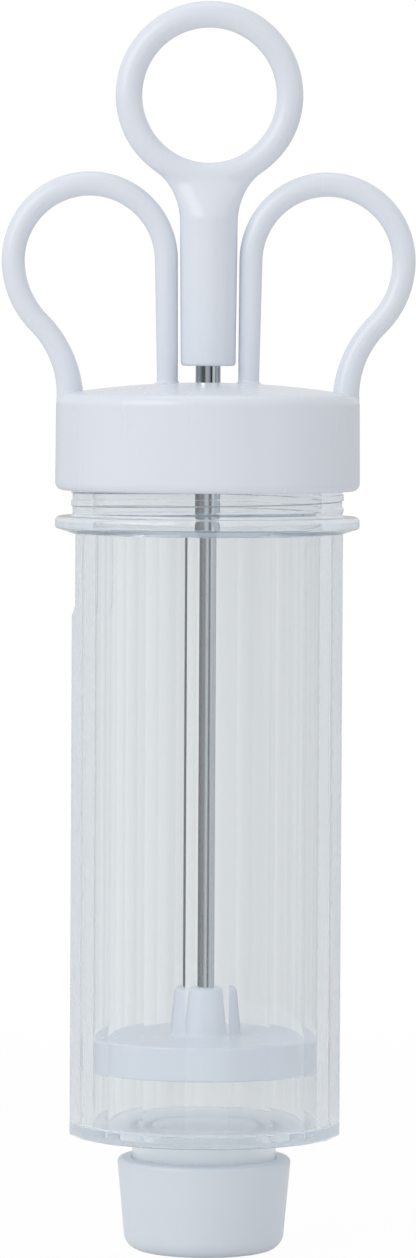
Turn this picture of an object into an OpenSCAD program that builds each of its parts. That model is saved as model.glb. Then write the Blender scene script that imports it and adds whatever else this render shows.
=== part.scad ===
// Pastry syringe: a clear faceted barrel, a screw cap with two finger loops,
// a ring-handled plunger, and a nut that clamps a pattern disc to the lower neck.
// Millimetres, +Z up the axis, the nut's underside at z = 0, finger loops along X.

/* [Fits] */
// Radial gap between loose moving faces
slide_gap = 0.3; // [0.2:0.05:0.4]
// Radial gap of the rod in its guide and in the piston hub
running_gap = 0.05; // [0.02:0.01:0.1]
// Gap between faces that seat on each other
seat_gap = 0.1; // [0.05:0.05:0.2]
// Radial gap of the rod pressed into the handle
press_gap = 0.02; // [0.01:0.01:0.05]

/* [Nozzle nut] */
// Height of the nut
nut_h = 18.6; // [14:0.1:24]
// Wall of the nut at its top rim
nut_top_wall = 2.8; // [2.2:0.1:4]
// Wall of the nut above its base
nut_base_wall = 1.4; // [1:0.1:2]
// Thickness of the lip that holds the disc
nut_lip = 2; // [1.4:0.1:3]
// Width of the lip inside the nut's bore
nut_ledge = 3.1; // [2:0.1:4]
// Edge radius of the base
nut_base_round = 2.4; // [1:0.1:2.6]
// Edge radius of the top rim
nut_top_round = 0.9; // [0.3:0.1:1]

/* [Pattern disc] */
// Thickness of the disc
disc_t = 1.2; // [0.8:0.1:2]
// Points of the star opening
star_points = 6; // [5:1:9]
// Diameter over the tips of the star
star_tip_d = 17; // [14:0.5:19]
// Diameter at the roots of the star
star_root_d = 10; // [8:0.5:12]

/* [Barrel] */
// Diameter of the bore
bore_d = 45.8; // [40:0.2:52]
// Wall between the bore and the middle of a facet
barrel_wall = 4.15; // [3.6:0.05:6]
// Wall of the upper neck
neck_wall = 4.3; // [3.4:0.1:5.5]
// Number of flat facets
facets = 20; // [16:1:28]
// Turn of the front flat away from the front, in degrees
facet_turn = 1; // [-9:0.5:9]
// Length of the faceted tube
barrel_h = 120.2; // [90:0.5:150]
// Thickness of the floor
floor_t = 2; // [1.6:0.1:4]
// Edge radius where the wall meets the floor, inside
floor_round = 1.5; // [0.5:0.1:3]
// Outer diameter of the lower neck
low_neck_d = 28.6; // [26:0.2:32]
// Wall of the lower neck
low_neck_wall = 2.6; // [2:0.1:3.4]
// Lower neck left bare between the nut and the barrel
low_neck_bare = 4.8; // [2:0.1:8]
// How far the bead stands out from the neck
bead_out = 3.3; // [1.5:0.1:4]
// Height of the bead with its sloped underside
bead_h = 3.7; // [3.4:0.1:6]
// Rise of the bead's sloped underside
bead_rise = 1.5; // [0.8:0.1:1.8]
// Upper edge radius of the bead
bead_round = 1; // [0.6:0.1:1.2]
// Lower edge radius of the bead
bead_low_round = 0.6; // [0.3:0.1:0.8]
// Upper neck left bare between the bead and the cap
neck_bare = 6.1; // [2:0.1:9]
// Depth of the relief on the left side, below the bead
relief_depth = 0.8; // [0.4:0.1:1.5]
// Length of the relief
relief_h = 13.8; // [8:0.2:30]
// Length of the ramp that ends the relief
relief_ramp = 2.4; // [1:0.1:5]

/* [Screw cap] */
// Height of the cap in the middle
cap_h = 20.8; // [16:0.2:28]
// Height of the dome over the cap's edge
cap_dome = 3; // [1:0.1:4]
// Wall of the cap's skirt at its lower edge
cap_wall = 3; // [2.4:0.1:4]
// Draft of the skirt, on the radius
cap_draft = 0.15; // [0:0.05:0.6]
// Thickness of the roof in the middle
cap_roof = 5; // [4.6:0.1:7]
// Edge radius of the top
cap_top_round = 2; // [0.8:0.1:2.4]
// Edge radius of the lower edge
cap_low_round = 1.2; // [0.4:0.1:1.2]
// Outer diameter of the rod guide under the roof
guide_d = 11; // [9:0.5:14]
// Length of the rod guide under the roof
guide_h = 4; // [2:0.5:8]

/* [Finger loops] */
// Thickness of the loop's bar
loop_bar_d = 4.6; // [4:0.1:5.4]
// Extra thickness at the top of the loop
loop_crown = 0.25; // [0:0.05:0.5]
// Thickness of the inner leg at the cap
leg_foot_d = 4.2; // [3.6:0.1:5]
// Thickness of the outer leg at the cap
foot_d = 5.4; // [5:0.1:6.4]
// How far the outer leg stands inside the cap's edge
foot_inset = 0.05; // [0.05:0.05:0.5]
// Gap between the inner legs and the plunger's shank
leg_gap = 0.35; // [0.3:0.05:1.5]
// How much nearer to the shank the inner legs stand at the cap
leg_lean = 0.4; // [0:0.1:0.5]
// Width of the finger hole
finger_hole_d = 26; // [24:0.5:29]
// Radius of the loop's lower outer quarter
loop_low_r = 17.7; // [16:0.1:20]
// Height of the loop's centre above the middle of the cap
loop_rise = 24.3; // [22:0.1:30]

/* [Plunger] */
// Diameter of the rod
rod_d = 5; // [4:0.1:6]
// Length of the rod pressed into the handle
rod_seat = 22; // [14:0.5:26]
// Gap between the handle and the cap as stored
handle_gap = 3.3; // [2:0.1:20]
// Diameter of the shank at its lower end
shank_d = 11; // [10:0.1:13]
// Draft of the shank up to the flare, on the radius
shank_draft = 0.3; // [0:0.1:0.4]
// Edge radius of the shank's lower end
shank_round = 0.6; // [0.2:0.1:1.2]
// Height of the ring's centre above the shank's lower end
ring_rise = 54; // [48:0.2:64]
// Width of the thumb hole
thumb_hole_d = 26.8; // [24:0.2:30]
// Thickness of the ring's bar
ring_bar_d = 5.35; // [4.6:0.05:6]
// Radius of the flare from the shank into the ring
flare_r = 12; // [8:0.5:15]
// Depth of the flare where it meets the ring
flare_top_d = 4.8; // [4:0.1:5.2]
// Edge radius of the rod's ends
rod_round = 0.5; // [0.1:0.1:0.8]

/* [Piston] */
// Height of the piston above the floor as stored
piston_lift = 11; // [8:0.2:40]
// Thickness of the disc
piston_t = 6.9; // [4:0.1:9]
// Edge radius of the disc
piston_round = 0.6; // [0.2:0.1:1.2]
// Height of the hub above the disc
hub_h = 9.7; // [6:0.1:16]
// Diameter of the hub at the disc
hub_base_d = 12.8; // [11:0.1:16]
// Diameter of the hub at its top
hub_top_d = 9.8; // [9:0.1:11]
// Edge radius of the hub's top
hub_round = 1; // [0.4:0.1:1.4]
// Thickness left under the rod's end
socket_floor = 2; // [1.2:0.1:3]

/* [Hidden] */
$fn = 64;
// Overshoot of a cut beyond the face that it opens
cut = 1;
// Inset that keeps the flare's ends just inside the shank and the ring
flare_inset = 0.04;
// Share of its size that the flare starts from, inside the shank
flare_root = 0.9;
// Rings and sides of the flare, and of a finger loop
flare_rings = 12;
flare_sides = 40;
arch_rings = 18;
low_rings = 6;
reverse_rings = 9;
bar_sides = 16;
// Steps of the cap's dome
dome_steps = 8;

// Colours
white_plastic = "#e4e9ee";
clear_plastic = [0.82, 0.9, 0.94, 0.35];
bright_steel = "#aeb4b8";
pale_metal = "#c9ccce";

// Nut and disc
low_neck_r = low_neck_d / 2;
low_bore_r = low_neck_r - low_neck_wall;
nut_bore_r = low_neck_r + slide_gap;
nut_mouth_r = nut_bore_r - nut_ledge;
disc_r = nut_bore_r - slide_gap;
low_neck_z = nut_lip + disc_t + seat_gap;

// Barrel
bore_r = bore_d / 2;
flat_r = bore_r + barrel_wall;
corner_r = flat_r / cos(180 / facets);
neck_r = bore_r + neck_wall;
barrel_z = nut_h + low_neck_bare;
floor_z = barrel_z + floor_t;
bead_z = barrel_z + barrel_h;
bead_top = bead_z + bead_h;
bead_middle = bead_z + bead_h / 2;

// Cap
cap_z = bead_top + neck_bare;
cap_top = cap_z + cap_h;
roof_z = cap_top - cap_roof;
neck_top = roof_z - seat_gap;
cap_bore_r = neck_r + slide_gap;
cap_low_r = cap_bore_r + cap_wall;
cap_top_r = cap_low_r - cap_draft;
cap_edge = cap_top - cap_dome;
dome_r = cap_top_r - cap_top_round;
dome_sphere = (pow(dome_r, 2) + pow(cap_dome, 2)) / (2 * cap_dome);
guide_bore_r = rod_d / 2 + running_gap;

// Plunger
shank_r = shank_d / 2;
shank_top_r = shank_r + shank_draft;
shank_z = cap_top + handle_gap;
ring_z = shank_z + ring_rise;
ring_r = (thumb_hole_d + ring_bar_d) / 2;
ring_out_r = ring_r + ring_bar_d / 2;
flare_x = shank_top_r + flare_r;
flare_z = ring_z - sqrt(pow(ring_out_r + flare_r, 2) - pow(flare_x, 2));
flare_top = ring_z - ring_out_r * (ring_z - flare_z) / (ring_out_r + flare_r);
piston_z = floor_z + piston_lift;
piston_top = piston_z + piston_t;
hub_top = piston_top + hub_h;
rod_low = piston_z + socket_floor + seat_gap;
rod_top = shank_z + rod_seat;

// Finger loops: an inner leg that leans into a round arch, a wider lower outer
// quarter, and a reverse arc that stands the outer leg on the cap's edge
leg_x = shank_top_r + leg_gap + loop_bar_d / 2;
leg_foot_x = leg_x - leg_lean;
leg_foot_z = cap_edge - cut;
loop_r = (finger_hole_d + loop_bar_d) / 2;
loop_x = leg_x + loop_r;
loop_z = cap_top + loop_rise;
leg_reach = [loop_x - leg_foot_x, loop_z - leg_foot_z];
lean_angle = atan2(leg_reach[0], leg_reach[1]) - asin(loop_r / norm(leg_reach));
foot_x = cap_top_r - foot_inset - foot_d / 2;
foot_drop = loop_z - cap_edge;
low_x = loop_x + loop_r - loop_low_r;
turn_angle = 2 * atan((loop_x + loop_r - foot_x) / foot_drop);
reverse_r = foot_drop / sin(turn_angle) - loop_low_r;
reverse_x = foot_x + reverse_r;

// The two points where the outer tangent touches two corner circles
// given as [r, z, radius]
function tangent_pair(a, b) =
    let (
        step = [b[0] - a[0], b[1] - a[1]],
        normal = atan2(step[1], step[0]) - acos((a[2] - b[2]) / norm(step))
    )
    [for (c = [a, b]) [c[0] + c[2] * cos(normal), c[1] + c[2] * sin(normal)]];

// Convex outline through corners of given radius, listed anticlockwise
module rounded(corners) {
    last = len(corners) - 1;
    polygon([
        for (i = [0:last])
            each tangent_pair(corners[i], corners[i < last ? i + 1 : 0])
    ]);
    for (c = corners)
        if (c[2] > 0) translate([c[0], c[1]]) circle(r = c[2]);
}

// Half section from z0 to z1 with rounded outer edges
module half_section(z0, r0, round0, z1, r1, round1) {
    rounded([
        [0, z0, 0], [r0 - round0, z0 + round0, round0],
        [r1 - round1, z1 - round1, round1], [0, z1, 0]
    ]);
}

// Solid of revolution on that half section
module turned(z0, r0, round0, z1, r1, round1) {
    rotate_extrude() half_section(z0, r0, round0, z1, r1, round1);
}

// Closed skin over a stack of rings of equal size
module loft(rings) {
    sides = len(rings[0]);
    top = len(rings) - 1;
    polyhedron(
        points = [for (ring = rings) each ring],
        faces = [
            [for (i = [0:sides - 1]) i],
            for (k = [0:top - 1], i = [0:sides - 1])
                let (a = k * sides + i, b = k * sides + (i + 1) % sides)
                each [[a, a + sides, b + sides], [a, b + sides, b]],
            [for (i = [sides - 1:-1:0]) top * sides + i]
        ]
    );
}

// Outline of the flare at height z, an ellipse that narrows in depth as it widens
function flare_ring(z) =
    let (
        t = (z - flare_z) / (flare_top - flare_z),
        ease = t * t * (3 - 2 * t),
        half_w = flare_x - sqrt(pow(flare_r, 2) - pow(z - flare_z, 2)) - flare_inset,
        half_d = shank_top_r + ease * (flare_top_d / 2 - shank_top_r) - flare_inset
    )
    [
        for (i = [0:flare_sides - 1])
            let (a = 360 * i / flare_sides) [half_w * cos(a), half_d * sin(a), z]
    ];

// Blend from the round shank into the ring
module flare() {
    foot = [for (p = flare_ring(flare_z)) [p[0] * flare_root, p[1] * flare_root, flare_z - cut]];
    rise = (flare_top - flare_z) / flare_rings;
    loft([foot, for (k = [0:flare_rings]) flare_ring(flare_z + k * rise)]);
}

module thumb_handle() {
    color(white_plastic)
    difference() {
        union() {
            turned(shank_z, shank_r, shank_round, flare_z, shank_top_r, 0);
            flare();
            translate([0, 0, ring_z]) rotate([90, 0, 0])
                rotate_extrude() translate([ring_r, 0]) circle(d = ring_bar_d);
        }
        translate([0, 0, shank_z - cut])
            cylinder(h = rod_seat + seat_gap + cut, r = rod_d / 2 + press_gap);
    }
}

module plunger_rod() {
    color(bright_steel) turned(rod_low, rod_d / 2, rod_round, rod_top, rod_d / 2, rod_round);
}

module piston() {
    disc_out = bore_r - slide_gap;
    color(white_plastic)
    difference() {
        rotate_extrude() {
            half_section(piston_z, disc_out, piston_round, piston_top, disc_out, piston_round);
            half_section(piston_top - cut, hub_base_d / 2, 0, hub_top, hub_top_d / 2, hub_round);
        }
        translate([0, 0, piston_z + socket_floor])
            cylinder(h = hub_top - piston_z, r = rod_d / 2 + running_gap);
    }
}

// Stations of a finger loop as [x, z, heading, thickness], from the inner leg
// over the arch and down the outer leg, both feet sunk into the cap
loop_path = [
    [leg_foot_x, leg_foot_z, 90 - lean_angle, leg_foot_d],
    for (k = [0:arch_rings])
        let (a = (180 - lean_angle) * (1 - k / arch_rings))
        [loop_x + loop_r * cos(a), loop_z + loop_r * sin(a), a - 90,
         loop_bar_d + loop_crown * sin(a)],
    for (k = [1:low_rings])
        let (a = -k * turn_angle / low_rings)
        [low_x + loop_low_r * cos(a), loop_z + loop_low_r * sin(a), a - 90, loop_bar_d],
    for (k = [1:reverse_rings])
        let (t = k / reverse_rings, a = 180 - turn_angle + t * turn_angle)
        [reverse_x + reverse_r * cos(a), cap_edge + reverse_r * sin(a), a + 90,
         loop_bar_d + t * t * (foot_d - loop_bar_d)],
    [foot_x, cap_edge - cap_top_round - cut, 270, foot_d]
];

// Circle across the loop's bar at one station
function bar_ring(station) =
    let (r = station[3] / 2, heading = station[2])
    [
        for (i = [0:bar_sides - 1])
            let (a = 360 * i / bar_sides)
            [
                station[0] - r * cos(a) * sin(heading),
                -r * sin(a),
                station[1] + r * cos(a) * cos(heading)
            ]
    ];

module finger_loop() {
    loft([for (station = loop_path) bar_ring(station)]);
}

// Height of the dome's surface at radius r
function dome_z(r) = cap_top - dome_sphere + sqrt(pow(dome_sphere, 2) - pow(r, 2));

// Half section of the cap's outside, with its domed top
module cap_section() {
    rounded([
        [0, cap_z, 0],
        [cap_low_r - cap_low_round, cap_z + cap_low_round, cap_low_round],
        [cap_top_r - cap_top_round, cap_edge - cap_top_round, cap_top_round],
        for (k = [dome_steps - 1:-1:0]) let (r = dome_r * k / dome_steps) [r, dome_z(r), 0]
    ]);
}

module screw_cap() {
    color(white_plastic)
    difference() {
        union() {
            difference() {
                union() {
                    rotate_extrude() cap_section();
                    for (side = [0, 1]) mirror([side, 0, 0]) finger_loop();
                }
                translate([0, 0, cap_z - cut]) cylinder(h = roof_z - cap_z + cut, r = cap_bore_r);
            }
            translate([0, 0, roof_z - guide_h]) cylinder(h = guide_h + cut, d = guide_d);
        }
        translate([0, 0, roof_z - guide_h - cut])
            cylinder(h = cap_roof + guide_h + 2 * cut, r = guide_bore_r);
    }
}

// Faceted tube with one flat near the front
module facet_tube() {
    translate([0, 0, barrel_z]) linear_extrude(bead_middle - barrel_z)
        polygon([
            for (i = [0:facets - 1])
                let (a = 360 * (i + 0.5) / facets - 90 + facet_turn)
                [corner_r * cos(a), corner_r * sin(a)]
        ]);
}

// Shallow flat on the left side with a ramp back out to the facets
module relief_cut() {
    inner = flat_r - relief_depth;
    outer = corner_r + cut;
    low = bead_z - relief_h;
    rotate([90, 0, 0])
        linear_extrude(corner_r, center = true)
            polygon([
                [-outer, low - relief_ramp], [-flat_r, low - relief_ramp],
                [-inner, low], [-inner, bead_middle], [-outer, bead_middle]
            ]);
}

module barrel() {
    bead_r = neck_r + bead_out;
    root_r = flat_r - relief_depth - cut;
    color(clear_plastic)
    difference() {
        union() {
            difference() {
                facet_tube();
                relief_cut();
            }
            rotate_extrude()
                rounded([
                    [0, bead_z, 0], [root_r, bead_z, 0],
                    [bead_r - bead_low_round, bead_z + bead_rise + bead_low_round, bead_low_round],
                    [bead_r - bead_round, bead_top - bead_round, bead_round], [0, bead_top, 0]
                ]);
            translate([0, 0, bead_middle + cut]) cylinder(h = neck_top - bead_middle - cut, r = neck_r);
            translate([0, 0, low_neck_z]) cylinder(h = barrel_z - low_neck_z + cut, r = low_neck_r);
        }
        turned(floor_z, bore_r, floor_round, neck_top + cut, bore_r, 0);
        translate([0, 0, low_neck_z - cut]) cylinder(h = floor_z - low_neck_z + 2 * cut, r = low_bore_r);
    }
}

module nozzle_nut() {
    color(white_plastic)
    difference() {
        turned(0, nut_bore_r + nut_base_wall, nut_base_round,
               nut_h, nut_bore_r + nut_top_wall, nut_top_round);
        translate([0, 0, nut_lip]) cylinder(h = nut_h, r = nut_bore_r);
        translate([0, 0, -cut]) cylinder(h = nut_lip + 2 * cut, r = nut_mouth_r);
    }
}

module pattern_disc() {
    color(pale_metal)
    translate([0, 0, nut_lip]) linear_extrude(disc_t)
        difference() {
            circle(r = disc_r);
            polygon([
                for (i = [0:2 * star_points - 1])
                    let (a = 180 * i / star_points, r = (i % 2 == 0 ? star_tip_d : star_root_d) / 2)
                    [r * cos(a), r * sin(a)]
            ]);
        }
}

thumb_handle();
plunger_rod();
piston();
screw_cap();
barrel();
nozzle_nut();
pattern_disc();
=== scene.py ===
import math

import bpy
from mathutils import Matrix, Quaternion, Vector


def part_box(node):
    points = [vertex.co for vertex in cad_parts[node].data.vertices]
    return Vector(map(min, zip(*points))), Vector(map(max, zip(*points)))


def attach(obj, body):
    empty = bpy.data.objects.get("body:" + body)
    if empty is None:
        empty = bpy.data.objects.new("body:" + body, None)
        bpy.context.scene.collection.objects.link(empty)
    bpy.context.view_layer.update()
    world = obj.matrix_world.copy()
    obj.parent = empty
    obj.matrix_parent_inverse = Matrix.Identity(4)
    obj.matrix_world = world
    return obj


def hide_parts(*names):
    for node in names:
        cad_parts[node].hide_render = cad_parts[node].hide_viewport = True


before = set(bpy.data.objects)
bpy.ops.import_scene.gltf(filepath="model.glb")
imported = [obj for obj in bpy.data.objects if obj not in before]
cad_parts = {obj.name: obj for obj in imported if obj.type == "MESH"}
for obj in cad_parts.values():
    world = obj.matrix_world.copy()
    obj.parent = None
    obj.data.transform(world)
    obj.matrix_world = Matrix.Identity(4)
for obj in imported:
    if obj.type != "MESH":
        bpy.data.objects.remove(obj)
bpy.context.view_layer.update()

scene = bpy.context.scene
scene.view_settings.view_transform = "Standard"

mm = 0.001
fullTurn = 2 * math.pi


# Node trees

class Wire:
    # an output socket; arithmetic on it adds Math nodes to its tree
    def __init__(self, graph, socket):
        self.graph = graph
        self.socket = socket

    def out(self, name):
        return Wire(self.graph, self.socket.node.outputs[name])

    def calc(self, operation, *values):
        return self.graph.add("ShaderNodeMath", {"operation": operation}, dict(enumerate(values)))

    def ramped(self, low, high, start=0.0, end=1.0):
        return self.graph.add(
            "ShaderNodeMapRange", {"interpolation_type": "SMOOTHSTEP"},
            {"Value": self, "From Min": low, "From Max": high, "To Min": start, "To Max": end})

    def __add__(self, other):
        return self.calc("ADD", self, other)

    def __radd__(self, other):
        return self.calc("ADD", other, self)

    def __sub__(self, other):
        return self.calc("SUBTRACT", self, other)

    def __rsub__(self, other):
        return self.calc("SUBTRACT", other, self)

    def __mul__(self, other):
        return self.calc("MULTIPLY", self, other)

    def __rmul__(self, other):
        return self.calc("MULTIPLY", other, self)

    def __truediv__(self, other):
        return self.calc("DIVIDE", self, other)

    def __rtruediv__(self, other):
        return self.calc("DIVIDE", other, self)


class Graph:
    def __init__(self, tree):
        self.tree = tree
        tree.nodes.clear()

    def add(self, nodeType, settings=None, inputs=None, output=0):
        node = self.tree.nodes.new(nodeType)
        for name, value in (settings or {}).items():
            if name == "stops":
                self.setStops(node.color_ramp, value)
            else:
                setattr(node, name, value)
        for name, value in (inputs or {}).items():
            if isinstance(value, Wire):
                self.tree.links.new(value.socket, node.inputs[name])
            else:
                node.inputs[name].default_value = value
        return Wire(self, node.outputs[output]) if node.outputs else None

    def setStops(self, ramp, stops):
        while len(ramp.elements) < len(stops):
            ramp.elements.new(0.5)
        for element, (place, tone) in zip(ramp.elements, stops):
            element.position = place
            element.color = (tone, tone, tone, 1)

    def mixColour(self, factor, first, second, blend="MIX"):
        # sockets 6, 7 and 2 are the colour ones of a Mix node
        return self.add("ShaderNodeMix", {"data_type": "RGBA", "blend_type": blend},
                        {0: factor, 6: first, 7: second}, 2)

    def noise(self, place, scale, detail=2.0, roughness=0.5):
        return self.add("ShaderNodeTexNoise", None, {
            "Vector": place, "Scale": scale, "Detail": detail, "Roughness": roughness})

    def stretched(self, place, scale):
        return self.add("ShaderNodeMapping", None, {"Vector": place, "Scale": scale})

    def bump(self, strength, height):
        return self.add("ShaderNodeBump", None, {
            "Strength": strength, "Distance": mm, "Height": height})


def newFinish(name):
    material = bpy.data.materials.new(name)
    material.use_nodes = True
    return material, Graph(material.node_tree)


def rgba(colour):
    return (*colour, 1.0)


# Finishes, with sizes of patterns in patterns per metre

whiteLook = {
    "tone": (0.79, 0.83, 0.9), "shade": (0.766, 0.806, 0.88),
    "drift": 38, "driftRange": (0.25, 0.75),
    "scuffs": 420, "scuffRange": (0.56, 0.74), "scuffStretch": (1, 1, 0.12), "scuffShare": 0.2,
    "grain": 2600, "grainHeight": 0.005, "bump": 0.6,   # height in mm
    "roughness": 0.22, "spread": 0.1, "index": 1.49,
}


def mouldedPlastic(name, look):
    material, g = newFinish(name)
    place = g.add("ShaderNodeTexCoord", output="Object")
    drift = g.noise(place, look["drift"], 3.0).ramped(*look["driftRange"])
    grain = g.noise(place, look["grain"], 2.0)
    scuffed = g.stretched(place, look["scuffStretch"])
    scuffs = g.noise(scuffed, look["scuffs"], 5.0, 0.62).ramped(*look["scuffRange"])
    mix = drift * (1 - look["scuffShare"]) + scuffs * look["scuffShare"]
    colour = g.mixColour(mix, rgba(look["tone"]), rgba(look["shade"]))
    roughness = look["roughness"] + look["spread"] * (scuffs * 0.6 + drift * 0.4)
    skin = g.add("ShaderNodeBsdfPrincipled", None, {
        "Base Color": colour, "Roughness": roughness, "IOR": look["index"],
        "Normal": g.bump(look["bump"], grain * look["grainHeight"])})
    g.add("ShaderNodeOutputMaterial", None, {"Surface": skin})
    return material


clearLook = {
    "tone": (0.965, 0.975, 0.98), "smear": (0.95, 0.961, 0.968),
    "roughness": 0.01, "haze": 0.02, "index": 1.5, "clarity": 0.93,
    "wipe": 260, "wipeRange": (0.5, 0.78), "wipeStretch": (1, 1, 0.06),
    "rub": 900, "rubRange": (0.6, 0.8), "rubStretch": (1, 1, 0.3),
    "waves": 45, "waveHeight": 0.0004, "bump": 0.5,   # height in mm
    "depth": (0.74, 0.86, 0.97), "density": 19,   # per metre
    "passing": (0.962, 0.97, 0.976),   # what a lamp keeps at each surface
    # pale milky skin on the chamber's floor and lower neck: painted haze over the shade seen through
    # them
    "paintedHaze": (0.945, 0.98, 1.0), "paintedHazeRoughness": 0.3, "paintedHazeClarity": 0.6,
    "paintedHazeTop": 26.1, "paintedHazeReach": 23.6, "paintedHazeTopFade": 0.2, "paintedHazeReachFade": 0.6,   # mm
}


def clearPlastic(name, look):
    material, g = newFinish(name)
    place = g.add("ShaderNodeTexCoord", output="Object")
    wiped = g.stretched(place, look["wipeStretch"])
    rubbed = g.stretched(place, look["rubStretch"])
    wipe = g.noise(wiped, look["wipe"], 4.0, 0.6).ramped(*look["wipeRange"])
    rub = g.noise(rubbed, look["rub"], 6.0, 0.7).ramped(*look["rubRange"])
    wave = g.noise(place, look["waves"], 1.0)
    colour = g.mixColour(wipe, rgba(look["tone"]), rgba(look["smear"]))
    roughness = look["roughness"] + look["haze"] * (wipe * 0.5 + rub * 0.5)
    clear = g.add("ShaderNodeBsdfPrincipled", None, {
        "Base Color": colour, "Roughness": roughness,
        "IOR": look["index"], "Transmission Weight": look["clarity"],
        "Normal": g.bump(look["bump"], wave * look["waveHeight"])})
    # the chamber's floor and the neck under it get a pale milky skin, painted haze that lightens the
    # shade inside the nut seen through them; the foot's rim is clear
    paintedHaze = g.add("ShaderNodeBsdfPrincipled", None, {
        "Base Color": rgba(look["paintedHaze"]), "Roughness": look["paintedHazeRoughness"],
        "IOR": look["index"], "Transmission Weight": look["paintedHazeClarity"]})
    flat = g.add("ShaderNodeSeparateXYZ", None, {"Vector": place})
    reach = place.calc("SQRT", flat.out("X") * flat.out("X") + flat.out("Y") * flat.out("Y"))
    top, far = look["paintedHazeTop"] * mm, look["paintedHazeReach"] * mm
    share = (flat.out("Z").ramped(top, top - look["paintedHazeTopFade"] * mm)
             * reach.ramped(far, far - look["paintedHazeReachFade"] * mm))
    skin = g.add("ShaderNodeMixShader", None, {0: share, 1: clear, 2: paintedHaze})
    # lamps reach what is inside the barrel, and a mirrored ray leaves the wall
    rays = g.add("ShaderNodeLightPath")
    through = g.add("ShaderNodeBsdfTransparent", None, {"Color": rgba(look["passing"])})
    once = g.add("ShaderNodeMixShader", None, {
        0: rays.out("Is Reflection Ray"), 1: skin, 2: through})
    both = g.add("ShaderNodeMixShader", None, {0: rays.out("Is Shadow Ray"), 1: once, 2: through})
    thick = g.add("ShaderNodeVolumeAbsorption", None, {
        "Color": rgba(look["depth"]), "Density": look["density"]})
    g.add("ShaderNodeOutputMaterial", None, {"Surface": both, "Volume": thick})
    return material


steelLook = {
    "tone": (0.585, 0.635, 0.672), "dull": (0.44, 0.482, 0.515),
    "roughness": 0.055, "spread": 0.06, "bump": 0.5,
    "lines": (5200, 5200, 22), "lineRange": (0.45, 0.8), "lineHeight": 0.002,   # mm
    "stain": 240, "stainRange": (0.5, 0.8),
}


def metalFinish(name, look):
    material, g = newFinish(name)
    place = g.add("ShaderNodeTexCoord", output="Object")
    lines = g.noise(g.stretched(place, look["lines"]), 1.0, 4.0, 0.65)
    stain = g.noise(place, look["stain"], 3.0).ramped(*look["stainRange"])
    dulled = lines.ramped(*look["lineRange"]) * 0.6 + stain * 0.3
    colour = g.mixColour(dulled, rgba(look["tone"]), rgba(look["dull"]))
    roughness = look["roughness"] + look["spread"] * (lines * 0.7 + stain * 0.3)
    skin = g.add("ShaderNodeBsdfPrincipled", None, {
        "Base Color": colour, "Metallic": 1.0, "Roughness": roughness,
        "Normal": g.bump(look["bump"], lines * look["lineHeight"])})
    g.add("ShaderNodeOutputMaterial", None, {"Surface": skin})
    return material


discLook = {
    **steelLook,
    "tone": (0.74, 0.75, 0.76), "dull": (0.62, 0.63, 0.64),
    "roughness": 0.26, "spread": 0.16,
    "lines": (90, 4200, 900), "lineHeight": 0.006,
}
nutPlasticLook = {
    **whiteLook,
    "tone": (0.725, 0.778, 0.84), "shade": (0.7, 0.752, 0.815), "roughness": 0.34,
}

whitePlastic = mouldedPlastic("whitePlastic", whiteLook)
nutPlastic = mouldedPlastic("nutPlastic", nutPlasticLook)
clearWall = clearPlastic("clearPlastic", clearLook)
brightSteel = metalFinish("brightSteel", steelLook)
paleMetal = metalFinish("paleMetal", discLook)
print("finishes made")


# Meshes, with profiles in millimetres as (radius, height)

helpers = []   # objects that only a Boolean modifier needs


def unit(value):
    return min(1, max(0, value))


def eased(t):
    return t * t * (3 - 2 * t)


def evenTurns(count):
    return [fullTurn * i / count for i in range(count)]


def softCorners(corners, closed=True, steps=8, guard=0.25):
    # corners (r, z, rounding) turned into points, with rows close to both ends of each long run
    count = len(corners)
    points = []
    for i, (r, z, rounding) in enumerate(corners):
        here = Vector((r, z))
        if rounding <= 0 or (not closed and i in (0, count - 1)):
            points.append(here)
            continue
        before = (Vector(corners[i - 1][:2]) - here).normalized()
        after = (Vector(corners[(i + 1) % count][:2]) - here).normalized()
        half = before.angle(after) / 2
        reach = rounding / math.tan(half)
        centre = here + (before + after).normalized() * rounding / math.sin(half)
        start, end = here + before * reach - centre, here + after * reach - centre
        sweep = math.atan2(start.x * end.y - start.y * end.x, start.dot(end))
        pieces = max(2, round(abs(sweep) / (math.pi / 2) * steps))
        first = math.atan2(start.y, start.x)
        for k in range(pieces + 1):
            angle = first + sweep * k / pieces
            points.append(centre + Vector((math.cos(angle), math.sin(angle))) * rounding)
    guarded = []
    for i, point in enumerate(points):
        guarded.append(point)
        if i == len(points) - 1 and not closed:
            break
        run = points[(i + 1) % len(points)] - point
        if run.length > 4 * guard:
            guarded.append(point + run.normalized() * guard)
            guarded.append(point + run - run.normalized() * guard)
    return guarded


def skinOf(name, rows, closed):
    # rows of points round the axis; a row of one point is a pole
    verts, starts = [], []
    for row in rows:
        starts.append(len(verts))
        verts += [Vector(point) * mm for point in row]
    columns = max(len(row) for row in rows)
    faces = []
    for k in range(len(rows) if closed else len(rows) - 1):
        low, high = k, (k + 1) % len(rows)
        for i in range(columns):
            j = (i + 1) % columns
            corners = [starts[low] + i, starts[low] + j, starts[high] + j, starts[high] + i]
            if len(rows[low]) == 1:
                corners = [starts[low], corners[2], corners[3]]
            elif len(rows[high]) == 1:
                corners = [corners[0], corners[1], starts[high]]
            faces.append(corners)
    mesh = bpy.data.meshes.new(name)
    mesh.from_pydata(verts, [], faces)
    mesh.validate()
    return facingOut(mesh)


def facingOut(mesh):
    # turns the faces round when the enclosed volume comes out negative
    mesh.calc_loop_triangles()
    volume = 0.0
    for triangle in mesh.loop_triangles:
        a, b, c = (mesh.vertices[i].co for i in triangle.vertices)
        volume += a.dot(b.cross(c))
    if volume < 0:
        mesh.flip_normals()
    mesh.shade_smooth()
    return mesh


def turned(name, corners, closed=True, columns=144, steps=8):
    rows = []
    for r, z in softCorners(corners, closed, steps):
        if r < 1e-6:
            rows.append([(0, 0, z)])
        else:
            rows.append([(r * math.cos(a), r * math.sin(a), z) for a in evenTurns(columns)])
    return skinOf(name, rows, closed)


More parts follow.
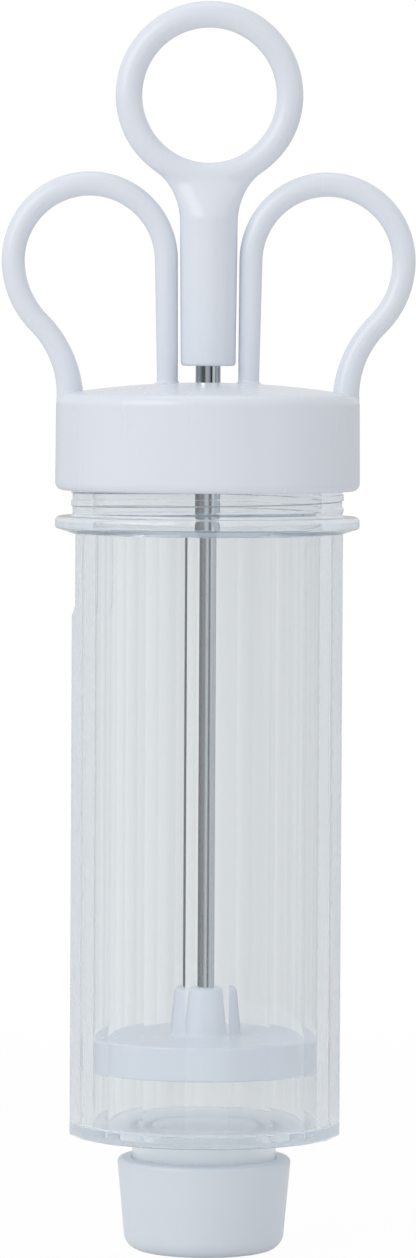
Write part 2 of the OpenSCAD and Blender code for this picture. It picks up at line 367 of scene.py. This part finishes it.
def newPiece(name, mesh, finish):
    piece = bpy.data.objects.new(name, mesh)
    scene.collection.objects.link(piece)
    mesh.materials.clear()
    mesh.materials.append(finish)
    return piece


def evaluatedMesh(piece, name):
    # the piece with its modifiers, as a plain mesh; the piece itself is removed
    bpy.context.view_layer.update()
    graph = bpy.context.evaluated_depsgraph_get()
    mesh = bpy.data.meshes.new_from_object(piece.evaluated_get(graph))
    mesh.name = name
    bpy.data.objects.remove(piece)
    return mesh


def combine(piece, mesh, name, operation="UNION"):
    helper = bpy.data.objects.new(name, mesh)
    scene.collection.objects.link(helper)
    helpers.append(helper)
    modifier = piece.modifiers.new(name, "BOOLEAN")
    modifier.operation = operation
    modifier.solver = "EXACT"
    modifier.object = helper


def clearHelpers():
    while helpers:
        bpy.data.objects.remove(helpers.pop())


def handIn(piece, body, node):
    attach(piece, body)
    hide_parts(node)
    print(piece.name, len(piece.data.polygons), "faces")


def lowest(node):
    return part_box(node)[0].z / mm


def highest(node):
    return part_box(node)[1].z / mm


# Barrel: one clear moulding, flats outside, round bore, a thread on each neck

barrelLook = {
    "facets": 20, "clocking": 1.0,                 # degrees from the front
    "flat": 27.05, "bore": 22.9, "edge": 0.5, "footEdge": 0.5,
    "floor": 2.0, "floorRound": 0.5, "tube": 120.05,
    "relief": 0.8, "reliefHeight": 13.8, "reliefRamp": 2.4,
    "reliefSide": 0.3,                             # cosine of the relief's reach round the left
    "beadRoot": 25.25, "bead": 30.5, "beadHeight": 4.0, "beadRise": 1.5,
    "beadRound": 1.0, "beadLowRound": 0.6,
    "neck": 27.3, "lowNeck": 14.3, "lowNeckBare": 14.42, "lowBore": 11.7, "lowNeckTop": 23.4,
    "ridge": 0.3, "pitch": 2.7, "lead": 1.2, "ridgeWidth": 1.3, "flank": 0.24,
    "threadStart": 0.5, "threadStop": 1.0, "threadFade": 0.6,
    "lowThreadStart": 0.8, "lowThreadCover": 2.0,   # cover: end of the thread under the nut's rim
    # spacing of the faces: degrees across a flat, then heights, radii and gaps
    "corner": 0.12, "cornerGuard": 1.0, "acrossFlat": (-5, -2.5, 0, 2.5, 5),
    "wallRows": (45, 70, 95), "reliefRow": 134, "boreRows": (140, 115, 90, 65, 40),
    "floorRow": 16, "lowBoreRow": 14, "footRow": 20,
    "underBead": (1.0, 0.2), "onSlope": (0, 0.1, 0.55),
    "guard": 0.3, "rimGuard": 0.4, "threadGap": 0.1, "rowStep": 0.2, "fineStep": 0.055,
    "roundSteps": 6,
}


def barrelMesh(look):
    flat, bore = look["flat"], look["bore"]
    edge, footEdge = look["edge"], look["footEdge"]
    guard, roundSteps = look["guard"], look["roundSteps"]
    bottom, rim = lowest("barrel"), highest("barrel")
    foot = look["lowNeckTop"]
    beadLow = foot + look["tube"]
    beadTop = beadLow + look["beadHeight"]
    floorTop = foot + look["floor"]
    reliefLow = beadLow - look["reliefHeight"]
    rampLow = reliefLow - look["reliefRamp"]
    pitch, ridge = look["pitch"], look["ridge"]
    facetAngle = 360 / look["facets"]
    half = facetAngle / 2
    corner, cornerGuard = look["corner"], look["cornerGuard"]
    across = [-half, corner - half, cornerGuard - half, *look["acrossFlat"],
              half - cornerGuard, half - corner]
    spots = []   # angle round the axis, and radius of the flat there
    for k in range(look["facets"]):
        for offset in across:
            turn = math.radians(look["clocking"] - 90 + facetAngle * k + offset)
            spots.append((turn, flat / math.cos(math.radians(offset))))
    boreTurns = [spots[0][0] + turn for turn in evenTurns(len(spots))]

    def wall(turn, radius, z):
        depth = look["relief"] * unit((z - rampLow) / look["reliefRamp"])
        side = -math.cos(turn)
        return min(radius, (flat - depth) / side) if side > look["reliefSide"] else radius

    def thread(turn, z, root, start, end, lead=0.0):
        away = abs(((z + lead) / pitch - turn / fullTurn) % 1 - 0.5) * pitch
        rise = eased(unit(0.5 - (away - look["ridgeWidth"] / 2) / look["flank"]))
        fade = unit((z - start) / look["threadFade"]) * unit((end - z) / look["threadFade"])
        return root + ridge * rise * fade

    rows = []

    def row(place):
        points = []
        for turn, radius in spots:
            r, z = place(turn, radius)
            points.append((r * math.cos(turn), r * math.sin(turn), z))
        rows.append(points)

    def plain(r, z):
        row(lambda turn, radius: (r, z))

    def inside(r, z):
        # evenly spaced, so that the round bore is smooth to look through
        rows.append([(r * math.cos(turn), r * math.sin(turn), z) for turn in boreTurns])

    def arc(r, z, rounding, start, end, steps=roundSteps, ring=plain):
        for k in range(steps + 1):
            a = math.radians(start + (end - start) * k / steps)
            ring(r + rounding * math.cos(a), z + rounding * math.sin(a))

    for k in range(roundSteps + 1):
        a = math.radians(-90 + 90 * k / roundSteps)
        row(lambda turn, radius: (radius - footEdge + footEdge * math.cos(a),
                                  foot + footEdge + footEdge * math.sin(a)))
    walls = [foot + footEdge + guard, *look["wallRows"], rampLow - guard, rampLow, rampLow + guard,
             reliefLow - guard, reliefLow, reliefLow + guard, look["reliefRow"]]
    for z in walls:
        row(lambda turn, radius: (wall(turn, radius, z), z))

    # sloped underside of the bead, tangent to its lower round edge
    root, rounding, lowRound = look["beadRoot"], look["beadRound"], look["beadLowRound"]
    centre = Vector((look["bead"] - lowRound, beadLow + look["beadRise"] + lowRound))
    step = centre - Vector((root, beadLow))
    normal = math.atan2(step.y, step.x) - math.acos(-lowRound / step.length)
    slope = math.tan(normal + math.pi / 2)
    touch = centre + Vector((math.cos(normal), math.sin(normal))) * lowRound

    def meeting(turn, radius):
        r = wall(turn, radius, beadLow)
        return r, beadLow + (r - root) * slope

    for below in look["underBead"]:
        row(lambda turn, radius: (meeting(turn, radius)[0], meeting(turn, radius)[1] - below))
    for share in look["onSlope"]:
        row(lambda turn, radius: tuple(Vector(meeting(turn, radius)).lerp(touch, share)))
    arc(centre.x, centre.y, lowRound, math.degrees(normal), 0, steps=8)
    arc(look["bead"] - rounding, beadTop - rounding, rounding, 0, 90, steps=8)
    neckRoot = look["neck"] - ridge
    plain(neckRoot + edge + look["rimGuard"], beadTop)
    arc(neckRoot + edge, beadTop + edge, edge, -90, -180)
    threadLow, threadHigh = beadTop + look["threadStart"], rim - look["threadStop"]
    z = beadTop + edge + look["threadGap"]
    while z < rim - edge - look["threadGap"]:
        row(lambda turn, radius: (
            thread(turn, z, neckRoot, threadLow, threadHigh, look["lead"]), z))
        z += look["fineStep"] if z < lowest("screw_cap") else look["rowStep"]
    arc(neckRoot - edge, rim - edge, edge, 0, 90)
    inside(bore + edge + look["rimGuard"], rim)
    arc(bore + edge, rim - edge, edge, 90, 180, ring=inside)
    inset, lowBore = look["floorRound"], look["lowBore"]
    for z in (rim - edge - guard, *look["boreRows"], floorTop + inset + guard):
        inside(bore, z)
    arc(bore - inset, floorTop + inset, inset, 0, -90, steps=10, ring=inside)
    for r in (bore - inset - guard, look["floorRow"], lowBore + edge + guard):
        inside(r, floorTop)
    arc(lowBore + edge, floorTop - edge, edge, 90, 180, ring=inside)
    for z in (floorTop - edge - guard, look["lowBoreRow"], bottom + edge + guard):
        inside(lowBore, z)
    arc(lowBore + edge, bottom + edge, edge, 180, 270, ring=inside)
    lowRoot, bare = look["lowNeck"] - ridge, look["lowNeckBare"]
    arc(lowRoot - edge, bottom + edge, edge, -90, 0)
    threadLow = bottom + look["lowThreadStart"]
    threadHigh = highest("nozzle_nut") - look["lowThreadCover"]
    z = bottom + edge + look["rowStep"]
    while z < threadHigh:
        row(lambda turn, radius: (thread(turn, z, lowRoot, threadLow, threadHigh), z))
        z += look["rowStep"]
    for z in (threadHigh + look["threadFade"], foot - footEdge - guard):
        plain(bare, z)
    arc(bare + footEdge, foot - footEdge, footEdge, 180, 90)
    for r in (bare + footEdge + guard, look["footRow"]):
        plain(r, foot)
    row(lambda turn, radius: (radius - footEdge - guard, foot))
    return skinOf("barrel", rows, True)


barrel = newPiece("clearBarrel", barrelMesh(barrelLook), clearWall)
handIn(barrel, "barrel", "barrel")


# Nut on the lower neck, with its thread between the neck's ridges

nutLook = {
    "bore": 14.6, "mouth": 11.5, "lip": 2.0, "base": 15.78, "top": 17.47,
    "baseRound": 3.4, "topRound": 0.9, "edge": 0.2, "lipRound": 0.25,
}


def nutMesh(look):
    low, high = lowest("nozzle_nut"), highest("nozzle_nut")
    lip = low + look["lip"]
    edge, lipRound = look["edge"], look["lipRound"]
    return turned("nut", [
        (look["mouth"], low, edge), (look["base"], low, look["baseRound"]),
        (look["top"], high, look["topRound"]), (look["bore"], high, edge),
        (look["bore"], lip, lipRound), (look["mouth"], lip, lipRound)])


nut = newPiece("nozzleNut", nutMesh(nutLook), nutPlastic)
handIn(nut, "nut", "nozzle_nut")


# Disc with the star opening stays as it is in the frame

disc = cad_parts["pattern_disc"]
disc.data.materials.clear()
disc.data.materials.append(paleMetal)


# Piston, rod and thumb handle

pistonLook = {
    "disc": 22.6, "thick": 6.9, "discRound": 0.6,
    "hubBase": 6.4, "hubTop": 4.9, "hubRound": 1.0, "hubFillet": 0.9,
    "socket": 2.55, "socketFloor": 2.0, "socketEdge": 0.2,
}


def pistonMesh(look):
    low, high = lowest("piston"), highest("piston")
    top, socketFloor = low + look["thick"], low + look["socketFloor"]
    return turned("piston", [
        (0, low, 0), (look["disc"], low, look["discRound"]),
        (look["disc"], top, look["discRound"]), (look["hubBase"], top, look["hubFillet"]),
        (look["hubTop"], high, look["hubRound"]), (look["socket"], high, look["socketEdge"]),
        (look["socket"], socketFloor, look["socketEdge"]), (0, socketFloor, 0)],
        closed=False)


piston = newPiece("pistonDisc", pistonMesh(pistonLook), whitePlastic)
handIn(piston, "piston", "piston")

rodLook = {"radius": 2.5, "endRound": 0.5, "columns": 96}


def rodMesh(look):
    low, high = lowest("plunger_rod"), highest("plunger_rod")
    return turned("rod", [
        (0, low, 0), (look["radius"], low, look["endRound"]),
        (look["radius"], high, look["endRound"]), (0, high, 0)],
        closed=False, columns=look["columns"])


rod = newPiece("plungerRod", rodMesh(rodLook), brightSteel)
handIn(rod, "plunger", "plunger_rod")

handleLook = {
    "ring": 16.075, "bar": 5.35, "shankLow": 5.5, "shankHigh": 5.8, "shankRound": 0.6,
    "flare": 12.0, "thinning": 0.45,          # depth of the flare's top, as a share of the bar
    "socket": 2.52, "socketDepth": 22.1,
    "ringSteps": 240, "flareSteps": 40, "columns": 96, "overlap": 1.0,
    "voxel": 0.26, "smoothing": 10,
    "blendReach": 7.0, "blending": 70,        # mm round the flare's top edges
    "smoothFactor": 0.5,
}


def handleMesh(look):
    low, high = lowest("thumb_handle"), highest("thumb_handle")
    bar = look["bar"] / 2
    ringOut = look["ring"] + bar
    middle = high - ringOut
    flare, thick = look["flare"], look["shankHigh"]
    reach = thick + flare
    start = middle - math.sqrt((ringOut + flare) ** 2 - reach ** 2)
    end = middle - ringOut * (middle - start) / (ringOut + flare)
    columns, overlap = look["columns"], look["overlap"]
    turns = evenTurns(columns)

    ringRows = []
    for a in evenTurns(look["ringSteps"]):
        out = Vector((math.cos(a), 0, math.sin(a)))
        ringRows.append([
            Vector((0, 0, middle)) + out * (look["ring"] + bar * math.cos(b))
            + Vector((0, bar * math.sin(b), 0)) for b in turns[::2]])
    ring = skinOf("ring", ringRows, True)

    flareRows = []
    for k in range(look["flareSteps"] + 1):
        t = k / look["flareSteps"]
        z = start + (end - start) * t
        width = reach - math.sqrt(flare ** 2 - (z - start) ** 2)
        depth = thick + eased(t) * (look["bar"] * look["thinning"] - thick)
        flareRows.append([(width * math.cos(a), depth * math.sin(a), z) for a in turns])
    flareRows = [[(0, 0, start)]] + flareRows + [[(0, 0, end)]]
    flareSkin = skinOf("flare", flareRows, False)

    shank = turned("shank", [
        (0, low, 0), (look["shankLow"], low, look["shankRound"]),
        (thick, start + overlap, 0), (0, start + overlap, 0)], closed=False)

    joined = bpy.data.objects.new("handleParts", ring)
    scene.collection.objects.link(joined)
    for index, mesh in enumerate((flareSkin, shank)):
        combine(joined, mesh, "part%d" % index)
    remesh = joined.modifiers.new("blend", "REMESH")
    remesh.mode = "VOXEL"
    remesh.voxel_size = look["voxel"] * mm
    smooth = joined.modifiers.new("soften", "SMOOTH")
    smooth.factor = look["smoothFactor"]
    smooth.iterations = look["smoothing"]
    body = newPiece("handleBody", evaluatedMesh(joined, "handleBody"), whitePlastic)
    zone = body.vertex_groups.new(name="flareTop")
    for vertex in body.data.vertices:
        away = abs(vertex.co.z / mm - end) / look["blendReach"]
        if away < 1:
            zone.add([vertex.index], (1 - away * away) ** 2, "REPLACE")
    blend = body.modifiers.new("blendFlare", "SMOOTH")
    blend.factor = look["smoothFactor"]
    blend.iterations = look["blending"]
    blend.vertex_group = "flareTop"
    socketTop = low + look["socketDepth"]
    socket = turned("socket", [
        (0, low - overlap, 0), (look["socket"], low - overlap, 0),
        (look["socket"], socketTop, 0), (0, socketTop, 0)], closed=False, columns=columns)
    combine(body, socket, "socket", "DIFFERENCE")
    return facingOut(evaluatedMesh(body, "handle"))


handle = newPiece("thumbHandle", handleMesh(handleLook), whitePlastic)
clearHelpers()
handIn(handle, "plunger", "thumb_handle")


# Trees that sweep a bar along a path

def newTree(name, sockets):
    tree = bpy.data.node_groups.new(name, "GeometryNodeTree")
    for label, kind in sockets:
        tree.interface.new_socket(label, in_out="INPUT", socket_type=kind)
    tree.interface.new_socket("Geometry", in_out="OUTPUT", socket_type="NodeSocketGeometry")
    graph = Graph(tree)
    return tree, graph, graph.add("NodeGroupInput")


def closeTree(graph, geometry, finish):
    real = graph.add("GeometryNodeRealizeInstances", None, {"Geometry": geometry})
    done = graph.add("GeometryNodeSetMaterial", None, {"Geometry": real, "Material": finish})
    graph.add("NodeGroupOutput", None, {"Geometry": done})


def barTree():
    # a round bar along the curve, as thick as the curve's own radius
    tree, g, given = newTree("fingerLoopBar", [
        ("Geometry", "NodeSocketGeometry"), ("Sides", "NodeSocketInt"),
        ("Finish", "NodeSocketMaterial")])
    ring = g.add("GeometryNodeCurvePrimitiveCircle", {"mode": "RADIUS"}, {
        "Resolution": given.out("Sides"), "Radius": 1.0})
    bar = g.add("GeometryNodeCurveToMesh", None, {
        "Curve": given.out("Geometry"), "Profile Curve": ring,
        "Scale": g.add("GeometryNodeInputRadius"), "Fill Caps": True})
    closeTree(g, bar, given.out("Finish"))
    return tree


def ridgeTree():
    # a ridge that climbs round the axis
    tree, g, given = newTree("threadRidge", [
        ("Turns", "NodeSocketFloat"), ("Pitch", "NodeSocketFloat"), ("Radius", "NodeSocketFloat"),
        ("Start", "NodeSocketFloat"), ("Thickness", "NodeSocketFloat"),
        ("Finish", "NodeSocketMaterial")])
    path = g.add("GeometryNodeCurveSpiral", None, {
        "Resolution": 72, "Rotations": given.out("Turns"),
        "Start Radius": given.out("Radius"), "End Radius": given.out("Radius"),
        "Height": given.out("Turns") * given.out("Pitch")})
    start = g.add("ShaderNodeCombineXYZ", None, {"Z": given.out("Start")})
    moved = g.add("GeometryNodeTransform", None, {"Geometry": path, "Translation": start})
    ring = g.add("GeometryNodeCurvePrimitiveCircle", {"mode": "RADIUS"}, {
        "Resolution": 10, "Radius": given.out("Thickness")})
    bar = g.add("GeometryNodeCurveToMesh", None, {
        "Curve": moved, "Profile Curve": ring, "Fill Caps": True})
    closeTree(g, bar, given.out("Finish"))
    return tree


def grown(piece, tree, values, name):
    # runs a tree on a piece and gives back the plain mesh
    modifier = piece.modifiers.new(name, "NODES")
    modifier.node_group = tree
    for socket in tree.interface.items_tree:
        if socket.in_out == "INPUT" and socket.name in values:
            modifier[socket.identifier] = values[socket.name]
    return facingOut(evaluatedMesh(piece, name))


# Screw cap with its two finger loops

capLook = {
    "bore": 27.5, "low": 30.5, "top": 30.35, "height": 20.8, "roof": 5.0,
    "lip": 0.8, "lowRound": 1.6, "topRound": 2.2, "dome": 180.0,   # radius of the domed top
    "guide": 5.5, "guideHeight": 4.0, "guideEdge": 0.4, "guideFillet": 0.6,
    "hole": 2.55, "holeLowEdge": 0.2, "holeTopEdge": 0.3, "roofFillet": 0.8, "boreEdge": 0.4,
    "domeRows": (27.5, 25, 22, 19, 16, 13, 10, 7, 4.5), "columns": 192, "roundSteps": 12,
    "shadingWeight": 60,
}
loopLook = {
    "bar": 4.6, "crown": 0.25, "legFoot": 4.2, "foot": 5.4, "footInset": 0.05,
    "hole": 26.0, "rise": 24.3, "drop": 3.3, "legX": 8.45, "lean": 0.4, "lowRadius": 17.7,
    "sunk": 1.6, "legDepth": 1.0, "seatDepth": 0.1, "fillet": 0.8, "sides": 48,
    "filletSteps": 6, "legSteps": 12, "archSteps": 60, "lowSteps": 24, "footSteps": 32,
}


def domeHeight(look, r):
    apex = lowest("screw_cap") + look["height"]
    return apex - look["dome"] + math.sqrt(look["dome"] ** 2 - r * r)


def capBody(look):
    low = lowest("screw_cap")
    roof, lip = low + look["height"] - look["roof"], low - look["lip"]
    guideLow = roof - look["guideHeight"]
    top, hole = look["top"], look["hole"]
    dome = [(r, domeHeight(look, r), 0) for r in look["domeRows"]]
    return turned("capBody", [
        (hole, guideLow, look["holeLowEdge"]), (look["guide"], guideLow, look["guideEdge"]),
        (look["guide"], roof, look["guideFillet"]), (look["bore"], roof, look["roofFillet"]),
        (look["bore"], lip, look["boreEdge"]), (look["low"], lip, look["lowRound"]),
        (top, domeHeight(look, top), look["topRound"]), *dome,
        (hole, domeHeight(look, hole), look["holeTopEdge"])],
        columns=look["columns"], steps=look["roundSteps"])


def loopPath(capSizes, look):
    # stations (x, z, radius) from the inner foot over the arch to the outer foot
    apex = lowest("screw_cap") + capSizes["height"]
    edge = apex - look["drop"]
    bar = look["bar"] / 2
    loopRadius = look["hole"] / 2 + bar
    loopX, loopZ = look["legX"] + loopRadius, apex + look["rise"]
    legX, legZ = look["legX"] - look["lean"], edge - look["legDepth"]
    reach = Vector((loopX - legX, loopZ - legZ))
    lean = math.atan2(reach.x, reach.y) - math.asin(loopRadius / reach.length)
    legLength = math.sqrt(reach.length ** 2 - loopRadius ** 2)
    footX = capSizes["top"] - look["footInset"] - look["foot"] / 2
    drop, lowRadius = loopZ - edge, look["lowRadius"]
    lowX = loopX + loopRadius - lowRadius
    turn = 2 * math.atan((loopX + loopRadius - footX) / drop)
    reverse = drop / math.sin(turn) - lowRadius
    reverseX = footX + reverse
    leg, fillet = look["legFoot"] / 2, look["fillet"]
    seat = domeHeight(capSizes, legX) - look["seatDepth"]
    stations = []

    def onLeg(z, radius):
        along = (z - legZ) / math.cos(lean)
        stations.append((legX + along * math.sin(lean), z, radius))

    onLeg(edge - look["sunk"] / 2, leg + fillet)
    for k in range(look["filletSteps"] + 1):
        rise = fillet * (k / look["filletSteps"]) ** 2
        onLeg(seat + rise, leg + fillet - math.sqrt(fillet ** 2 - (fillet - rise) ** 2))
    legTop = legZ + legLength * math.cos(lean)
    legSteps, archSteps = look["legSteps"], look["archSteps"]
    for k in range(1, legSteps):
        onLeg(seat + fillet + (legTop - seat - fillet) * k / legSteps,
              leg + (bar - leg) * k / legSteps)
    for k in range(archSteps + 1):
        a = (math.pi - lean) * (1 - k / archSteps)
        stations.append((loopX + loopRadius * math.cos(a), loopZ + loopRadius * math.sin(a),
                         bar + look["crown"] / 2 * math.sin(a)))
    for k in range(1, look["lowSteps"] + 1):
        a = -turn * k / look["lowSteps"]
        stations.append((lowX + lowRadius * math.cos(a), loopZ + lowRadius * math.sin(a), bar))
    for k in range(1, look["footSteps"] + 1):
        t = k / look["footSteps"]
        a = math.pi - turn + turn * t
        stations.append((reverseX + reverse * math.cos(a), edge + reverse * math.sin(a),
                         bar + t * t * (look["foot"] / 2 - bar)))
    stations.append((footX, edge - look["sunk"], look["foot"] / 2))
    return stations


def loopMesh(side, capSizes, look):
    stations = loopPath(capSizes, look)
    curve = bpy.data.curves.new("loopPath", "CURVE")
    curve.dimensions = "3D"
    spline = curve.splines.new("POLY")
    spline.points.add(len(stations) - 1)
    for point, (x, z, radius) in zip(spline.points, stations):
        point.co = (side * x * mm, 0, z * mm, 1)
        point.radius = radius * mm
    path = bpy.data.objects.new("loopPath", curve)
    scene.collection.objects.link(path)
    return grown(path, barTree(), {"Sides": look["sides"], "Finish": whitePlastic}, "fingerLoop")


def capMesh(capSizes, look):
    body = newPiece("capParts", capBody(capSizes), whitePlastic)
    for side in (-1, 1):
        combine(body, loopMesh(side, capSizes, look), "loop")
    return facingOut(evaluatedMesh(body, "cap"))


cap = newPiece("screwCap", capMesh(capLook, loopLook), whitePlastic)
clearHelpers()
even = cap.modifiers.new("evenShading", "WEIGHTED_NORMAL")
even.weight = capLook["shadingWeight"]
handIn(cap, "cap", "screw_cap")


# Thread inside the nut

nutThreadLook = {"Turns": 4.0, "Pitch": barrelLook["pitch"] * mm, "Radius": 14.45 * mm,
                 "Start": 5.4 * mm, "Thickness": 0.45 * mm, "Finish": nutPlastic}
threadSeed = newPiece("threadSeed", bpy.data.meshes.new("threadSeed"), nutPlastic)
nutThread = newPiece(
    "nutThread", grown(threadSeed, ridgeTree(), nutThreadLook, "nutThread"), nutPlastic)
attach(nutThread, "nut")
print("pieces made")


# Floor and surroundings

stageLook = {
    "floorRadius": 0.55, "floorSides": 96, "fade": (0.2, 0.5), "floorTone": 0.9, "floorMix": 0.96,
    "mirrorFade": (0.1, 0.3),
    "ambient": 0.645, "through": 0.8,
    "above": 0.76, "horizon": (0.02, 0.07),   # heights between which the tones give way
    "deep": (0.935, 0.955, 0.975),   # light that was mirrored inside the barrel's wall
    # tones round the horizon, from behind over the left, the front and the right to behind again
    "throughTones": [(0.0, 0.76), (0.015, 0.82), (0.04, 0.88), (0.2, 0.89), (0.5, 0.85), (0.8, 0.88),
                     (0.93, 0.84), (0.985, 0.74), (1.0, 0.755)],
    "outerTones": [(0.0, 0.55), (0.12, 0.5), (0.16, 0.2), (0.25, 0.18), (0.295, 0.34), (0.34, 0.12),
                   (0.41, 0.1), (0.44, 0.46), (0.475, 0.6), (0.54, 0.4), (0.57, 0.08), (0.59, 0.01),
                   (0.605, 0.01), (0.635, 0.42), (0.66, 0.55), (0.7, 0.38), (0.79, 0.3), (0.86, 0.32),
                   (0.92, 0.5), (1.0, 0.55)],
    # the same for steel that is seen through the barrel's wall
    "innerTones": [(0.0, 0.1), (0.2, 0.1), (0.27, 0.12), (0.3, 0.18), (0.33, 0.26), (0.37, 0.14),
                   (0.41, 0.28), (0.44, 0.58), (0.48, 0.7), (0.51, 0.7), (0.535, 0.33), (0.56, 0.06),
                   (0.59, 0.06), (0.615, 0.58), (0.66, 0.68), (0.71, 0.6), (0.77, 0.62), (0.83, 0.66),
                   (0.9, 0.4), (1.0, 0.1)],
}


def lightPath(g, *names):
    path = g.add("ShaderNodeLightPath")
    total = path.out(names[0])
    for name in names[1:]:
        total = total.calc("MAXIMUM", total, path.out(name))
    return total


def floorFinish(look):
    material, g = newFinish("paleFloor")
    place = g.add("ShaderNodeTexCoord", output="Object")
    distance = g.add("ShaderNodeVectorMath", {"operation": "LENGTH"}, {0: place}, "Value")
    mirrored = lightPath(g, "Is Glossy Ray", "Is Transmission Ray")
    seen = lightPath(g, "Is Camera Ray", "Is Glossy Ray", "Is Transmission Ray")
    share = distance.ramped(*look["fade"], look["floorMix"], 1.0)
    matt = g.add("ShaderNodeBsdfDiffuse", None, {"Color": rgba([look["floorTone"]] * 3)})
    tone = g.mixColour(mirrored, rgba([1.0] * 3), rgba([look["through"]] * 3))
    white = g.add("ShaderNodeEmission", None, {"Color": tone, "Strength": 1.0})
    both = g.add("ShaderNodeMixShader", None, {0: seen * share, 1: matt, 2: white})
    # far from the object, mirrors and clear plastic look past the floor into the surroundings
    clear = g.add("ShaderNodeBsdfTransparent")
    gone = mirrored * distance.ramped(*look["mirrorFade"])
    shown = g.add("ShaderNodeMixShader", None, {0: gone, 1: both, 2: clear})
    g.add("ShaderNodeOutputMaterial", None, {"Surface": shown})
    return material


def floorMesh(look):
    radius = look["floorRadius"]
    edge = [(radius * math.cos(a), radius * math.sin(a), 0) for a in evenTurns(look["floorSides"])]
    mesh = bpy.data.meshes.new("floor")
    mesh.from_pydata(edge, [], [list(range(len(edge)))])
    return mesh


floor = newPiece("floor", floorMesh(stageLook), floorFinish(stageLook))


def studioWorld(look):
    world = bpy.data.worlds.new("studio")
    world.use_nodes = True
    g = Graph(world.node_tree)
    way = g.add("ShaderNodeSeparateXYZ", None, {
        "Vector": g.add("ShaderNodeTexCoord", output="Generated")})
    bearing = way.calc("ARCTAN2", way.out("X"), 0 - way.out("Y")) / fullTurn + 0.5
    path = g.add("ShaderNodeLightPath")
    mirrored = path.calc("GREATER_THAN", path.out("Glossy Depth"), 0.5)
    walls = path.out("Transmission Depth")
    pale = g.add("ShaderNodeValToRGB", {"stops": look["throughTones"]}, {"Fac": bearing})
    tones = g.mixColour(1.0, pale, rgba(look["deep"]), "MULTIPLY")
    for depth, name in ((0, "outerTones"), (2, "innerTones")):
        ramp = g.add("ShaderNodeValToRGB", {"stops": look[name]}, {"Fac": bearing})
        tones = g.mixColour(walls.calc("COMPARE", walls, depth, 0.5), tones, ramp)
    up = way.out("Z").ramped(*look["horizon"])
    around = g.mixColour(up, tones, rgba([look["above"]] * 3))
    straight = g.mixColour(path.out("Is Camera Ray"), pale, rgba([1.0] * 3))
    soft = g.mixColour(path.out("Is Diffuse Ray"), straight, rgba([look["ambient"]] * 3))
    shown = g.mixColour(mirrored * (1 - path.out("Is Diffuse Ray")), soft, around)
    light = g.add("ShaderNodeBackground", None, {"Color": shown, "Strength": 1.0})
    g.add("ShaderNodeOutputWorld", None, {"Surface": light})
    return world


scene.world = studioWorld(stageLook)

lampLook = [
    # name, place, size, watts
    ("keyLamp", (-0.93, -0.86, 0.8), 1.1, 6.0),
    ("fillLamp", (0.9, -0.7, 0.45), 0.8, 0.45),
    ("topLamp", (0.0, 0.1, 1.2), 0.8, 1.1),
]
aim = Vector((0, 0, 0.13))
for name, place, size, watts in lampLook:
    lamp = bpy.data.lights.new(name, "AREA")
    lamp.shape = "DISK"
    lamp.size = size
    lamp.energy = watts
    lampObject = bpy.data.objects.new(name, lamp)
    lampObject.location = place
    lampObject.rotation_mode = "QUATERNION"
    lampObject.rotation_quaternion = (aim - Vector(place)).to_track_quat("-Z", "Y")
    scene.collection.objects.link(lampObject)


# Camera

cameraLook = {"eye": (0.0, -1.2, 0.181), "target": (0.00025, 0.0, 0.12484),
              "lens": 171.55, "sensor": 36, "roll": 0.3, "farEnd": 20}
camera = bpy.data.objects.new("camera", bpy.data.cameras.new("camera"))
scene.collection.objects.link(camera)
camera.data.lens = cameraLook["lens"]
camera.data.sensor_width = cameraLook["sensor"]
camera.data.clip_end = cameraLook["farEnd"]
sight = Vector(cameraLook["target"]) - Vector(cameraLook["eye"])
camera.location = cameraLook["eye"]
camera.rotation_mode = "QUATERNION"
camera.rotation_quaternion = (sight.to_track_quat("-Z", "Y")
                              @ Quaternion((0, 0, 1), math.radians(cameraLook["roll"])))
scene.camera = camera
print("stage made")
